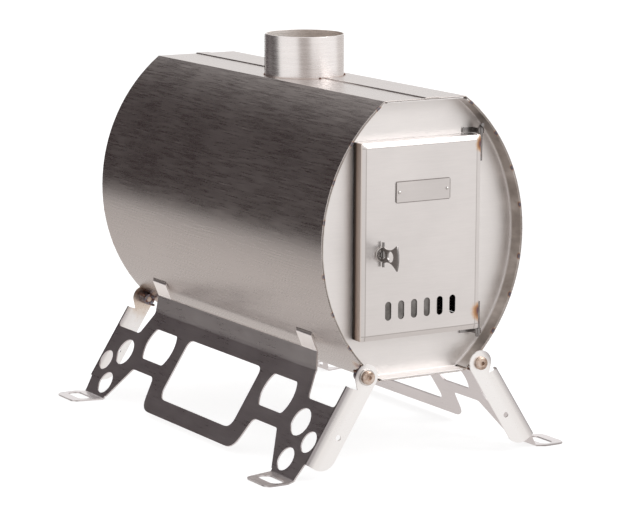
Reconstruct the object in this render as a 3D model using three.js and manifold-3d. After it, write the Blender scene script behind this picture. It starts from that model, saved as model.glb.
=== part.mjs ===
// A sheet-steel tent wood stove: an oval barrel firebox with a dished front and rear panel, a
// flue collar, a side-hung door with a turning latch and an air slide, and two folding legs.
// Millimetres, +Z up, +X to the right, the door faces -Y, and the feet stand on z = 0.
import * as THREE from 'three';
import { mergeVertices } from 'three/addons/utils/BufferGeometryUtils.js';
import Module from 'manifold-3d';

const wasm = await Module();
wasm.setup();

// ---------------------------------------------------------------- driving dimensions

const GAP = 0.3;                     // seat between two pieces that touch
const CUT = 1;                       // how far a cutter runs past what it cuts

// Firebox barrel, in a section centred on its own axis.
const BODY_LENGTH = 451;
const BODY_HALF_WIDTH = 115;
const SIDE_RADIUS = 168.6;           // radius of each bulging side wall
const TOP_FLAT_HALF = 46;            // half width of the flat cooking top
const BOTTOM_FLAT_HALF = 49.6;
const BARREL_FACETS = 16;            // for each half of a side wall
const SHELL_SHEET = 1.0;
const LAP_WIDTH = 14;                // lapped joint of the shell along the top
const LAP_RAMP = 3;

// Front and rear panels.
const PANEL_SHEET = 1.0;
const PANEL_RECESS = 17.5;           // how deep a panel face lies behind the rim
const RELIEF_WIDTH = 5;              // notches in the panel flange at the four creases
const RELIEF_FACETS = 8;
const OPENING_RADIUS = 6;

// Flue collar.
const COLLAR_RADIUS = 40;            // outside, for 80 mm pipe
const COLLAR_SHEET = 1.2;
const COLLAR_HEIGHT = 42;            // above the cooking top
const COLLAR_Y = -2;
const COLLAR_FLANGE = 5;             // ring that is welded under the top sheet
const COLLAR_FACETS = 48;

// Fire grate on the floor of the barrel.
const GRATE_SHEET = 1.5;
const GRATE_HEIGHT = 22;             // above the barrel floor
const GRATE_CORNER = 2;
const GRATE_SLOT = [44, 9];
const GRATE_ROWS = 3;
const GRATE_COLUMNS = 6;
const GRATE_PITCH = [40, 62];        // across and along the barrel

// Door: a shallow pan with a bevelled front.
const DOOR_LEFT = -69.2;
const DOOR_RIGHT = 66.5;
const DOOR_BOTTOM_MARGIN = 39.9;     // door edge to the barrel's flat bottom
const DOOR_TOP_MARGIN = 39.1;        // and to its flat top
const DOOR_DEPTH = 14.4;
const DOOR_SHEET = 1.0;
const DOOR_CLEARANCE = 0.6;          // door edge to panel face
const DOOR_BEVEL_WIDTH = 5;
const DOOR_BEVEL_DROP = 1.5;
const DOOR_CORNER = 1.5;
const DOOR_LAP = 11;                 // how far the door covers the panel round the opening

// Air slots and their slide.
const SLOT_COUNT = 6;
const SLOT_PITCH = 14.7;
const SLOT_WIDTH = 7;
const SLOT_LENGTH = 18.4;
const SLOT_ROW_X = -1.6;             // middle of the row
const SLOT_ROW_RISE = 27.4;          // above the door's lower edge
const SLIDE_SHEET = 1.0;
const SLIDE_INSET = 6.2;             // door edge to the slide
const SLIDE_LENGTH = 81.5;           // at rest two slots are open
const SLIDE_HALF_HEIGHT = 14;
const SLIDE_LIP = 6;                 // turned-in finger lip
const RAIL_WIDTH = 8.3;
const RAIL_LAP = 3.3;
const RAIL_INSET = 6;                // door edge to the rails' far end

// Heat shield inside the door.
const SHIELD_DEPTH = 10.2;
const SHIELD_SIDE_CLEARANCE = 6;
const SHIELD_RISE = 20;              // above the middle of the air slots

// Latch.
const LATCH_INSET = 22.7;            // door's left edge to the spindle
const LATCH_RISE = 83.4;             // above the door's lower edge
const LATCH_REACH = 30;              // wing tip in front of the door
const LATCH_SHEET = 1.6;
const SPINDLE_RADIUS = 3;
const SPINDLE_END = 0.8;             // past its nut
const LATCH_WASHER_RADIUS = 7;
const LATCH_WASHER_SHEET = 1.7;
const WING_ROOT_HALF = 12;
const WING_ROOT_DEPTH = 2;
const WING_NECK_HALF = 8;
const WING_WAIST_HALF = 5.2;
const WING_TIP_HALF = 12.4;
const WING_TIP_BULGE = 5;            // of the rounded outer edge
const WING_NOTCH_RADIUS = 4;
const WING_HOLE_RADIUS = 5.3;
const WING_HOLE_REACH = 16.5;        // in front of the door
const TONGUE_LENGTH = 21;
const TONGUE_WIDTH = 12;
const TONGUE_SHEET = 1.5;
const TONGUE_CHAMFER = 3;
const LATCH_NUT_FLATS = 10;
const LATCH_NUT_HEIGHT = 3.2;

// Plain plate on the door.
const PLATE_SIZE = [61.5, 20.8];
const PLATE_X = -0.3;
const PLATE_DROP = 49;               // its middle, below the door's top edge
const PLATE_CORNER = 2;
const PLATE_SHEET = 0.6;
const PLATE_RIVET_INSET = 3.6;
const RIVET_HEAD_RADIUS = 1.6;
const RIVET_HEAD_HEIGHT = 0.95;
const RIVET_SHANK_RADIUS = 0.9;

// Door hinge: bent pins welded to the door, and strap brackets on the front panel.
const PIN_RADIUS = 2;
const PIN_Y_BEHIND_FACE = 5.5;
const PIN_WELD_LENGTH = 26;
const PIN_BEND_RADIUS = 3;
const PIN_HOOK = 1;
const PIN_TAIL = 9;                  // lower pin below the door
const STRAP_SHEET = 1;
const STRAP_HEIGHT = 5;
const STRAP_TAB = 12;
const STRAP_CLEARANCE = 0.8;         // strap to door edge

// Legs. Sizes down the plate are taken from the hinge axis.
const LEG_SHEET = 1.5;
const LEG_ANGLE = 32.5;              // degrees from upright
const HINGE_OUT = 15.3;              // hinge axis outside the barrel's lower crease
const HINGE_RISE = 6.8;              // and above the barrel's flat bottom
const LEG_OFFSET = 13.5;             // hinge axis to the outside of the leg plate
const LEG_LENGTH = 119.5;            // to the foot bend
const LEG_BEND_RADIUS = 1.6;         // inside a bend
const EAR_RADIUS = 12.5;             // round end of a leg's ear
const EAR_LENGTH = 101;
const EAR_CORNER = 16;
const EAR_START = 17;                // where the ear's bend begins
const EAR_NOTCH = { a: 2.5, b: 15, angle: 35 };
const EAR_HOLE = { a: -3.5, b: 63.5, radius: 2.8 };
const EAR_RUNNING_GAP = 0.8;         // barrel rim to the inner ear
const FLANGE_BEND = 13;              // to the upper bend
const FLANGE_RISE = 15;              // upper bend, above the hinge axis
const FLANGE_STANDOFF = 8.1;         // upper bend to the barrel wall
const FLANGE_HALF_FOOT = 165;
const FLANGE_HALF_TOP = 162.5;
const TAB_RISE = 32;                 // bend of its hook, above the hinge axis
const TAB_STANDOFF = 2.2;            // its outer face to the barrel wall
const TAB_HOOK = 6;                  // length that turns in through the wall
const TAB_LENGTH = 28.5;
const TAB_CORNER = 3;
const TAB_SLOT_CLEARANCE = 0.5;
const TAB_SLOT_REACH = 4;            // how far its cutter runs past the wall
const TAB_SLOT_DROP = 0.9;           // lower edge of the shell slot, below the hook's bend
const TAB_SLOT_HEIGHT = 3.5;
const FOOT_DEPTH = 32.5;
const FOOT_INNER = 176.5;            // foot bend, along the barrel
const FOOT_OUTER = 219.5;
const FOOT_SPLAY = [7, 5];           // how far the tab runs outwards past the bend
const FOOT_CORNER = 9;
const FOOT_HEEL = 3;                 // how much the ear is wider than the foot
const FOOT_HOLE_INNER = 9.5;         // its ends, past those of the foot bend
const FOOT_HOLE_OUTER = 0.5;
const FOOT_HOLE_REACH = 15.3;        // its middle, out from the foot bend
const FOOT_HOLE_SLIMNESS = 2.43;     // length over width
const WINDOW = { half: 75, top: 28, bottom: 96.5, upperRadius: 9, lowerRadius: 12 };
const UPPER_HOLE = { y: 182.8, b: 64.6, radius: 14.6 };  // lightening holes over each foot
const OUTER_HOLE = { y: 211.4, b: 79.9, radius: 11.2 };
const LOWER_HOLE = { offset: 8.6, b: 103, radius: 12.2 };  // inwards from the foot's middle
const FLAT_HOLE = { y: 122.7, b: 46.8, radius: 28, half: 17.4, corner: 5 };
const PLATE_FOOT = 114.5;            // lower edge of the plate between the feet
const ARCH_TOP = 78.5;               // top of the arch beside each foot
const ARCH_OUTER = 150.5;
const ARCH_INNER = [104.5, 95.5];    // at the top of the arch and at the plate's lower edge
const NOTCH_BOTTOM = 40.5;           // notch beside the flange, which the other leg's foot enters
const NOTCH_INNER = 174.5;
const NOTCH_OUTER = 223;

// Leg fasteners.
const BOLT_RADIUS = 3;
const BOLT_HEAD_RADIUS = 6.5;
const BOLT_HEAD_HEIGHT = 3.5;
const BOLT_DOME = 1.6;               // rounded part of the head
const BOLT_SOCKET_FLATS = 4;
const BOLT_SOCKET_DEPTH = 2;
const NUT_RADIUS = 6;
const NUT_LENGTH = 12.5;
const BOLT_SHORT_OF_NUT = 1;         // bolt's end inside the nut
const WASHER_RADIUS = 8;
const WASHER_SHEET = 1.5;

// ---------------------------------------------------------------- places worked out

const degrees = Math.PI / 180;
const sideCentre = SIDE_RADIUS - BODY_HALF_WIDTH;
const topZ = Math.sqrt(SIDE_RADIUS ** 2 - (TOP_FLAT_HALF + sideCentre) ** 2);
const bottomZ = -Math.sqrt(SIDE_RADIUS ** 2 - (BOTTOM_FLAT_HALF + sideCentre) ** 2);
const rimY = BODY_LENGTH / 2;
const panelFace = -rimY + PANEL_RECESS;
const doorFace = panelFace - DOOR_CLEARANCE - DOOR_DEPTH;
const doorTop = topZ - DOOR_TOP_MARGIN;
const doorBottom = bottomZ + DOOR_BOTTOM_MARGIN;
const doorInside = doorFace + DOOR_SHEET;
const shieldFace = doorInside + GAP + SHIELD_DEPTH;
const slotRowZ = doorBottom + SLOT_ROW_RISE;
const slideLeft = DOOR_LEFT + SLIDE_INSET;
const slideRight = slideLeft + SLIDE_LENGTH;
const latchX = DOOR_LEFT + LATCH_INSET;
const latchZ = doorBottom + LATCH_RISE;
const plateZ = doorTop - PLATE_DROP;
const opening = {
  left: DOOR_LEFT + DOOR_LAP,
  right: DOOR_RIGHT - DOOR_LAP,
  bottom: doorBottom + DOOR_LAP,
  top: doorTop - DOOR_LAP,
};
const hingeX = BOTTOM_FLAT_HALF + HINGE_OUT;
const hingeZ = bottomZ + HINGE_RISE;
const flangeTopZ = hingeZ + FLANGE_RISE;
const tabBendZ = hingeZ + TAB_RISE;
const tabSlotLow = tabBendZ - TAB_SLOT_DROP;
const tabSlotHigh = tabSlotLow + TAB_SLOT_HEIGHT;
const legTangent = LEG_BEND_RADIUS + LEG_SHEET;
const footMiddle = (FOOT_INNER + FOOT_OUTER) / 2;
const footWidth = FOOT_OUTER - FOOT_INNER;
const legAngle = LEG_ANGLE * degrees;
const legOut = new THREE.Vector3(Math.cos(legAngle), 0, Math.sin(legAngle));
const legDown = new THREE.Vector3(Math.sin(legAngle), 0, -Math.cos(legAngle));
const innerEar = rimY + EAR_RUNNING_GAP;
const outerEar = innerEar + LEG_SHEET + GAP;
const boltSeat = outerEar + LEG_SHEET + GAP;
const pinX = DOOR_RIGHT + GAP + PIN_RADIUS;
const pinY = doorFace + PIN_Y_BEHIND_FACE;
const footSurface = legPoint(LEG_OFFSET, LEG_LENGTH).z;
const floorZ = footSurface - LEG_SHEET;
const frontReach = -(doorFace - LATCH_REACH);
const rearReach = boltSeat + BOLT_HEAD_HEIGHT;

// ---------------------------------------------------------------- materials

function steel(color, roughness = 0.35) {
  return new THREE.MeshStandardMaterial({ color, roughness, metalness: 1 });
}
const shellSteel = steel(0x8d8784);
const panelSteel = steel(0xcfc9c4, 0.4);
const doorSteel = steel(0xd3cdc9, 0.4);
const legSteel = steel(0x736e6c, 0.35);
const collarSteel = steel(0xb5afab, 0.3);
const fastenerSteel = steel(0x9a8f88, 0.3);
const scaledSteel = steel(0x5a4a44, 0.5);
const grateSteel = steel(0x5f5b59, 0.55);

// ---------------------------------------------------------------- solids

function solid(geometry) {
  const bare = geometry.clone();
  bare.deleteAttribute('normal');
  bare.deleteAttribute('uv');
  const merged = mergeVertices(bare, 1e-4);
  return new wasm.Manifold(new wasm.Mesh({
    numProp: 3,
    vertProperties: Float32Array.from(merged.attributes.position.array),
    triVerts: Uint32Array.from(merged.index.array),
  }));
}

function united(parts) {
  return parts.reduce((whole, part) => whole.add(part));
}

function cut(base, cutters) {
  return cutters.reduce((rest, cutter) => rest.subtract(cutter), base);
}

function meshOf(name, body, material, mirrored = false) {
  const data = body.getMesh();
  const position = Float32Array.from(data.vertProperties);
  const index = Uint32Array.from(data.triVerts);
  if (mirrored) {
    for (let i = 0; i < position.length; i += 3) position[i] = -position[i];
    for (let i = 0; i < index.length; i += 3) [index[i], index[i + 1]] = [index[i + 1], index[i]];
  }
  const geometry = new THREE.BufferGeometry();
  geometry.setAttribute('position', new THREE.BufferAttribute(position, 3));
  geometry.setIndex(new THREE.BufferAttribute(index, 1));
  geometry.computeVertexNormals();
  const mesh = new THREE.Mesh(geometry, material);
  mesh.name = name;
  return mesh;
}

function placed(geometry, xAxis, yAxis, zAxis, origin) {
  const place = new THREE.Matrix4().makeBasis(xAxis, yAxis, zAxis).setPosition(origin);
  return solid(geometry.applyMatrix4(place));
}

const X = new THREE.Vector3(1, 0, 0);
const Y = new THREE.Vector3(0, 1, 0);
const Z = new THREE.Vector3(0, 0, 1);
const minusY = new THREE.Vector3(0, -1, 0);

function extruded(shape, depth, curveSegments) {
  return new THREE.ExtrudeGeometry(shape, { depth, bevelEnabled: false, curveSegments });
}

// A shape drawn in x and z, from one y to a larger one.
function acrossXZ(shape, fromY, toY, segments = 12) {
  const origin = new THREE.Vector3(0, toY, 0);
  return placed(extruded(shape, toY - fromY, segments), X, Z, minusY, origin);
}

// A shape drawn in y and z, from one x to a larger one.
function acrossYZ(shape, fromX, toX, segments = 12) {
  return placed(extruded(shape, toX - fromX, segments), Y, Z, X, new THREE.Vector3(fromX, 0, 0));
}

// A shape drawn in x and y, from one z to a larger one.
function acrossXY(shape, fromZ, toZ, segments = 12) {
  return placed(extruded(shape, toZ - fromZ, segments), X, Y, Z, new THREE.Vector3(0, 0, fromZ));
}

function box(x0, x1, y0, y1, z0, z1) {
  const geometry = new THREE.BoxGeometry(x1 - x0, y1 - y0, z1 - z0);
  geometry.translate((x0 + x1) / 2, (y0 + y1) / 2, (z0 + z1) / 2);
  return solid(geometry);
}

// A cylinder along y.
function rod(x, z, radius, fromY, toY, segments = 24) {
  const geometry = new THREE.CylinderGeometry(radius, radius, toY - fromY, segments);
  geometry.translate(x, (fromY + toY) / 2, 0).translate(0, 0, z);
  return solid(geometry);
}

function circle(u, v, radius) {
  return new THREE.Shape().absarc(u, v, radius, 0, 2 * Math.PI, false);
}

function polygon(points) {
  return new THREE.Shape(points.map(([u, v]) => new THREE.Vector2(u, v)));
}

// The outline through the points [u, v, corner radius], which goes into a shape or a hole.
function roundedOutline(points) {
  const outline = [];
  points.forEach(([u, v, radius = 0], i) => {
    const corner = new THREE.Vector2(u, v);
    if (!radius) {
      outline.push(corner);
      return;
    }
    const back = new THREE.Vector2(...points.at(i - 1)).sub(corner).normalize();
    const onward = new THREE.Vector2(...points[(i + 1) % points.length]).sub(corner).normalize();
    const reach = radius / Math.tan(Math.acos(back.dot(onward)) / 2);
    const arc = new THREE.QuadraticBezierCurve(
      corner.clone().addScaledVector(back, reach),
      corner,
      corner.clone().addScaledVector(onward, reach),
    );
    outline.push(...arc.getPoints(radius > 5 ? 5 : 3));
  });
  return outline;
}

function roundedRectangle(u0, u1, v0, v1, radius) {
  const shape = new THREE.Shape();
  shape.absarc(u1 - radius, v0 + radius, radius, -Math.PI / 2, 0, false);
  shape.absarc(u1 - radius, v1 - radius, radius, 0, Math.PI / 2, false);
  shape.absarc(u0 + radius, v1 - radius, radius, Math.PI / 2, Math.PI, false);
  shape.absarc(u0 + radius, v0 + radius, radius, Math.PI, 1.5 * Math.PI, false);
  return shape;
}

// A strip of sheet whose outer face follows the points, with the thickness on the right-hand
// side of the path and every bend rounded.
function bentStrip(points, thickness, insideRadius) {
  const path = points.map(([u, v]) => new THREE.Vector2(u, v));
  const outer = [];
  const inner = [];
  const right = (from, to) => {
    const along = to.clone().sub(from).normalize();
    return new THREE.Vector2(along.y, -along.x);
  };
  path.forEach((point, i) => {
    const before = i > 0 ? right(path[i - 1], point) : right(point, path[i + 1]);
    const after = i < path.length - 1 ? right(point, path[i + 1]) : before;
    const turn = before.x * after.y - before.y * after.x;
    if (Math.abs(turn) < 1e-9) {
      outer.push(point.clone());
      inner.push(point.clone().addScaledVector(before, thickness));
      return;
    }
    const middle = before.clone().add(after).normalize();
    const cosine = middle.dot(before);
    const towardsRight = turn < 0;
    const outerRadius = insideRadius + (towardsRight ? thickness : 0);
    const innerRadius = insideRadius + (towardsRight ? 0 : thickness);
    const reach = (towardsRight ? 1 : -1) * outerRadius / cosine;
    const centre = point.clone().addScaledVector(middle, reach);
    const steps = 4;
    for (let step = 0; step <= steps; step += 1) {
      const mix = before.clone().lerp(after, step / steps).normalize();
      const sign = towardsRight ? -1 : 1;
      outer.push(centre.clone().addScaledVector(mix, sign * outerRadius));
      inner.push(centre.clone().addScaledVector(mix, sign * innerRadius));
    }
  });
  return new THREE.Shape([...outer, ...inner.reverse()]);
}

// A solid through rings of equally many points, each one convex and anticlockwise seen from
// outside the first ring.
function lofted(rings) {
  const count = rings[0].length;
  const positions = rings.flat().flatMap((point) => [point.x, point.y, point.z]);
  const index = [];
  for (let ring = 0; ring < rings.length - 1; ring += 1) {
    for (let i = 0; i < count; i += 1) {
      const a = ring * count + i;
      const b = ring * count + ((i + 1) % count);
      index.push(a, b + count, b, a, a + count, b + count);
    }
  }
  const last = (rings.length - 1) * count;
  for (let i = 1; i < count - 1; i += 1) {
    index.push(0, i, i + 1, last, last + i + 1, last + i);
  }
  const geometry = new THREE.BufferGeometry();
  geometry.setAttribute('position', new THREE.Float32BufferAttribute(positions, 3));
  geometry.setIndex(index);
  return solid(geometry);
}

// ---------------------------------------------------------------- firebox

// Section of the barrel, moved inwards from its outer face.
function barrelOutline(inset, withLap = false) {
  const radius = SIDE_RADIUS - inset;
  const top = topZ - inset;
  const bottom = bottomZ + inset;
  const high = Math.asin(top / radius);
  const low = Math.asin(bottom / radius);
  const shape = new THREE.Shape();
  shape.absarc(-sideCentre, 0, radius, low, high, false);
  if (withLap) {
    shape.lineTo(LAP_WIDTH + LAP_RAMP, top);
    shape.lineTo(LAP_WIDTH, top + SHELL_SHEET);
    shape.lineTo(0, top + SHELL_SHEET);
    shape.lineTo(0, top);
  }
  shape.absarc(sideCentre, 0, radius, Math.PI - high, Math.PI - low, false);
  return shape;
}

function barrelSlab(inset, fromY, toY, withLap = false) {
  return acrossXZ(barrelOutline(inset, withLap), fromY, toY, BARREL_FACETS);
}

function halfWidthAt(z, inset) {
  return Math.sqrt((SIDE_RADIUS - inset) ** 2 - z ** 2) - sideCentre;
}

function tabSlots() {
  const half = TAB_LENGTH / 2 + TAB_SLOT_CLEARANCE;
  const middle = FLANGE_HALF_TOP - TAB_LENGTH / 2;
  const low = halfWidthAt(tabSlotLow, 0) - TAB_SLOT_REACH;
  const high = halfWidthAt(tabSlotHigh, 0) + TAB_SLOT_REACH;
  return [-1, 1].flatMap((side) => [-middle, middle].map((y) => box(
    Math.min(side * low, side * high), Math.max(side * low, side * high),
    y - half, y + half, tabSlotLow, tabSlotHigh,
  )));
}

function makeShell() {
  const hollow = barrelSlab(SHELL_SHEET, -rimY - CUT, rimY + CUT);
  const radius = COLLAR_RADIUS + GAP;
  const collarHole = new THREE.CylinderGeometry(radius, radius, COLLAR_HEIGHT, COLLAR_FACETS);
  collarHole.rotateX(Math.PI / 2).translate(0, COLLAR_Y, topZ);
  return cut(barrelSlab(0, -rimY, rimY, true), [hollow, solid(collarHole), ...tabSlots()]);
}

// A dished end panel whose face looks along -y, with its flange out to the rim.
function makePanel() {
  const seat = SHELL_SHEET + GAP;
  const dish = barrelSlab(seat, -rimY, panelFace + PANEL_SHEET);
  const inside = barrelSlab(seat + PANEL_SHEET, -rimY - CUT, panelFace);
  const reliefs = [
    [halfWidthAt(topZ - seat, seat), topZ - seat],
    [halfWidthAt(bottomZ + seat, seat), bottomZ + seat],
  ].flatMap(([x, z]) => [-1, 1].map((side) => rod(
    side * x, z, RELIEF_WIDTH / 2, -rimY - CUT, panelFace - PANEL_SHEET, RELIEF_FACETS,
  )));
  return cut(dish, [inside, ...reliefs]);
}

function makeFrontPanel() {
  const { left, right, bottom, top } = opening;
  const hole = roundedRectangle(left, right, bottom, top, OPENING_RADIUS);
  return makePanel().subtract(acrossXZ(hole, panelFace - CUT, panelFace + PANEL_SHEET + CUT, 4));
}

function makeCollar() {
  const inner = COLLAR_RADIUS - COLLAR_SHEET;
  const low = topZ - SHELL_SHEET - GAP - COLLAR_SHEET;
  const profile = [
    [inner, low],
    [COLLAR_RADIUS + COLLAR_FLANGE, low],
    [COLLAR_RADIUS + COLLAR_FLANGE, low + COLLAR_SHEET],
    [COLLAR_RADIUS, low + COLLAR_SHEET],
    [COLLAR_RADIUS, topZ + COLLAR_HEIGHT],
    [inner, topZ + COLLAR_HEIGHT],
    [inner, low],
  ].map(([r, z]) => new THREE.Vector2(r, z));
  const geometry = new THREE.LatheGeometry(profile, COLLAR_FACETS);
  geometry.rotateX(Math.PI / 2).translate(0, COLLAR_Y, 0);
  return solid(geometry);
}

function makeGrate() {
  const z = bottomZ + GRATE_HEIGHT;
  const half = halfWidthAt(z, SHELL_SHEET + GAP);
  const end = -panelFace - PANEL_SHEET - GAP;
  const shape = roundedRectangle(-half, half, -end, end, GRATE_CORNER);
  const [length, width] = GRATE_SLOT;
  for (let row = 0; row < GRATE_ROWS; row += 1) {
    for (let column = 0; column < GRATE_COLUMNS; column += 1) {
      const x = (row - (GRATE_ROWS - 1) / 2) * GRATE_PITCH[0];
      const y = (column - (GRATE_COLUMNS - 1) / 2) * GRATE_PITCH[1];
      const slot = new THREE.Path();
      slot.absarc(x, y + (length - width) / 2, width / 2, 0, Math.PI, false);
      slot.absarc(x, y - (length - width) / 2, width / 2, Math.PI, 2 * Math.PI, false);
      shape.holes.push(slot);
    }
  }
  return acrossXY(shape, z, z + GRATE_SHEET, 3);
}

// ---------------------------------------------------------------- door

function doorRing(y, inset) {
  const shape = roundedRectangle(
    DOOR_LEFT + inset, DOOR_RIGHT - inset, doorBottom + inset, doorTop - inset, DOOR_CORNER,
  );
  return shape.getPoints(3).slice(0, -1).map((p) => new THREE.Vector3(p.x, y, p.y));
}

function slotX(i) {
  return SLOT_ROW_X + (i - (SLOT_COUNT - 1) / 2) * SLOT_PITCH;
}

function rivetXs() {
  const reach = PLATE_SIZE[0] / 2 - PLATE_RIVET_INSET;
  return [PLATE_X - reach, PLATE_X + reach];
}

function makeDoor() {
  const back = doorFace + DOOR_DEPTH;
  const bevel = doorFace + DOOR_BEVEL_DROP;
  const outer = lofted([doorRing(doorFace, DOOR_BEVEL_WIDTH), doorRing(bevel, 0), doorRing(back, 0)]);
  const inner = lofted([
    doorRing(doorInside, DOOR_BEVEL_WIDTH),
    doorRing(bevel + DOOR_SHEET, DOOR_SHEET),
    doorRing(back + CUT, DOOR_SHEET),
  ]);
  const front = doorFace - CUT;
  const behind = doorInside + CUT;
  const slots = Array.from({ length: SLOT_COUNT }, (_, i) => {
    const half = (SLOT_LENGTH - SLOT_WIDTH) / 2;
    const shape = new THREE.Shape();
    shape.absarc(slotX(i), slotRowZ + half, SLOT_WIDTH / 2, 0, Math.PI, false);
    shape.absarc(slotX(i), slotRowZ - half, SLOT_WIDTH / 2, Math.PI, 2 * Math.PI, false);
    return acrossXZ(shape, front, behind, 6);
  });
  const spindleHole = rod(latchX, latchZ, SPINDLE_RADIUS + GAP, front, behind, 20);
  const rivetHoles = rivetXs().map((x) => rod(
    x, plateZ, RIVET_SHANK_RADIUS + GAP, front, behind, 10,
  ));
  return cut(outer, [inner, ...slots, spindleHole, ...rivetHoles]);
}

function makeShield() {
  const edge = DOOR_SHEET + SHIELD_SIDE_CLEARANCE;
  const left = DOOR_LEFT + edge;
  const right = DOOR_RIGHT - edge;
  const top = doorTop - edge;
  const bottom = slotRowZ + SHIELD_RISE;
  const front = doorInside + GAP;
  const outside = box(left, right, front, shieldFace, bottom, top);
  const inside = box(
    left + DOOR_SHEET, right - DOOR_SHEET, front - CUT, shieldFace - DOOR_SHEET,
    bottom + DOOR_SHEET, top - DOOR_SHEET,
  );
  const hole = rod(latchX, latchZ, SPINDLE_RADIUS + GAP, front, shieldFace + CUT, 20);
  return cut(outside, [inside, hole]);
}

function makeSlide() {
  const front = doorInside + GAP;
  const back = front + SLIDE_SHEET;
  const low = slotRowZ - SLIDE_HALF_HEIGHT;
  const high = slotRowZ + SLIDE_HALF_HEIGHT;
  const plate = box(slideLeft, slideRight, front, back, low, high);
  const lipHalf = SLIDE_HALF_HEIGHT - RAIL_LAP - GAP;
  const lip = box(
    slideRight - SLIDE_SHEET, slideRight, front, back + SLIDE_LIP,
    slotRowZ - lipHalf, slotRowZ + lipHalf,
  );
  return plate.add(lip);
}

// A Z-section rail above (up = 1) or below (up = -1) the air slide.
function makeRail(up) {
  const front = doorInside + GAP;
  const step = front + SLIDE_SHEET + GAP;
  const edge = SLIDE_HALF_HEIGHT + GAP;
  const profile = [
    [front, edge + RAIL_WIDTH - RAIL_LAP],
    [front, edge],
    [step, edge],
    [step, edge - RAIL_LAP],
    [step + DOOR_SHEET, edge - RAIL_LAP],
    [step + DOOR_SHEET, edge + DOOR_SHEET],
    [front + DOOR_SHEET, edge + DOOR_SHEET],
    [front + DOOR_SHEET, edge + RAIL_WIDTH - RAIL_LAP],
  ].map(([y, z]) => [y, slotRowZ + up * z]);
  return acrossYZ(polygon(up > 0 ? profile : profile.reverse()), slideLeft, DOOR_RIGHT - RAIL_INSET);
}

function makeLatchWing() {
  const root = doorFace - GAP - LATCH_WASHER_SHEET - GAP;
  const neck = root - WING_ROOT_DEPTH;
  const corner = doorFace - LATCH_REACH + WING_TIP_BULGE / 2;
  const bulge = corner - WING_TIP_BULGE;
  const waist = (neck + corner) / 2;
  const shape = new THREE.Shape();
  shape.moveTo(root, -WING_ROOT_HALF);
  shape.lineTo(root, WING_ROOT_HALF);
  shape.lineTo(neck, WING_ROOT_HALF);
  shape.lineTo(neck, WING_NECK_HALF);
  shape.quadraticCurveTo(waist, 2 * WING_WAIST_HALF - WING_NECK_HALF, corner, WING_TIP_HALF);
  shape.quadraticCurveTo(bulge, 0, corner, -WING_TIP_HALF);
  shape.quadraticCurveTo(waist, WING_NECK_HALF - 2 * WING_WAIST_HALF, neck, -WING_NECK_HALF);
  shape.lineTo(neck, -WING_ROOT_HALF);
  const notch = new THREE.Shape();
  notch.absarc(neck + CUT / 2, 0, WING_NOTCH_RADIUS, Math.PI / 2, 1.5 * Math.PI, false);
  const round = circle(doorFace - WING_HOLE_REACH, 0, WING_HOLE_RADIUS);
  const half = LATCH_SHEET / 2;
  const plate = cut(acrossYZ(shape, -half, half, 8), [
    acrossYZ(notch, -half - CUT, half + CUT, 6),
    acrossYZ(round, -half - CUT, half + CUT, 10),
  ]);
  const spindle = rod(0, 0, SPINDLE_RADIUS, root - CUT / 2, latchNutEnd() + SPINDLE_END, 20);
  return plate.add(spindle).translate([latchX, 0, latchZ]);
}

function tongueFront() {
  return panelFace + PANEL_SHEET + GAP;
}

function latchNutEnd() {
  return tongueFront() + TONGUE_SHEET + GAP + LATCH_NUT_HEIGHT;
}

function makeLatchWasher() {
  const back = doorFace - GAP;
  const ring = rod(latchX, latchZ, LATCH_WASHER_RADIUS, back - LATCH_WASHER_SHEET, back, 28);
  return ring.subtract(rod(
    latchX, latchZ, SPINDLE_RADIUS + GAP, back - LATCH_WASHER_SHEET - CUT, back + CUT, 20,
  ));
}

// The tongue hangs down inside the opening, and turns up behind the panel to hold the door.
function makeTongue() {
  const shape = new THREE.Shape();
  const half = TONGUE_WIDTH / 2;
  const tip = latchZ - TONGUE_LENGTH;
  shape.absarc(latchX, latchZ, half, 0, Math.PI, false);
  shape.lineTo(latchX - half, tip + TONGUE_CHAMFER);
  shape.lineTo(latchX - half + TONGUE_CHAMFER, tip);
  shape.lineTo(latchX + half - TONGUE_CHAMFER, tip);
  shape.lineTo(latchX + half, tip + TONGUE_CHAMFER);
  shape.holes.push(circle(latchX, latchZ, SPINDLE_RADIUS + GAP));
  return acrossXZ(shape, tongueFront(), tongueFront() + TONGUE_SHEET, 8);
}

function hexagon(u, v, flats) {
  const corner = flats / Math.sqrt(3);
  return polygon(Array.from({ length: 6 }, (_, i) => [
    u + corner * Math.cos(i * 60 * degrees), v + corner * Math.sin(i * 60 * degrees),
  ]));
}

function makeLatchNut() {
  const shape = hexagon(latchX, latchZ, LATCH_NUT_FLATS);
  shape.holes.push(circle(latchX, latchZ, SPINDLE_RADIUS + GAP));
  return acrossXZ(shape, latchNutEnd() - LATCH_NUT_HEIGHT, latchNutEnd(), 8);
}

function makePlate() {
  const [width, height] = PLATE_SIZE;
  const left = PLATE_X - width / 2;
  const low = plateZ - height / 2;
  const shape = roundedRectangle(left, left + width, low, low + height, PLATE_CORNER);
  rivetXs().forEach((x) => shape.holes.push(circle(x, plateZ, RIVET_SHANK_RADIUS + GAP)));
  const back = doorFace - GAP;
  return acrossXZ(shape, back - PLATE_SHEET, back, 4);
}

function makeRivet(x) {
  const seat = doorFace - GAP - PLATE_SHEET - GAP;
  const dome = [0, 30, 60, 90].map((turn) => [
    RIVET_HEAD_RADIUS * Math.cos(turn * degrees),
    seat - RIVET_HEAD_HEIGHT * Math.sin(turn * degrees),
  ]);
  const profile = [
    [0, doorInside],
    [RIVET_SHANK_RADIUS, doorInside],
    [RIVET_SHANK_RADIUS, seat],
    ...dome,
  ].map(([r, y]) => new THREE.Vector2(r, y)).reverse();
  const geometry = new THREE.LatheGeometry(profile, 12);
  geometry.translate(x, 0, plateZ);
  return solid(geometry);
}

// ---------------------------------------------------------------- door hinge

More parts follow.
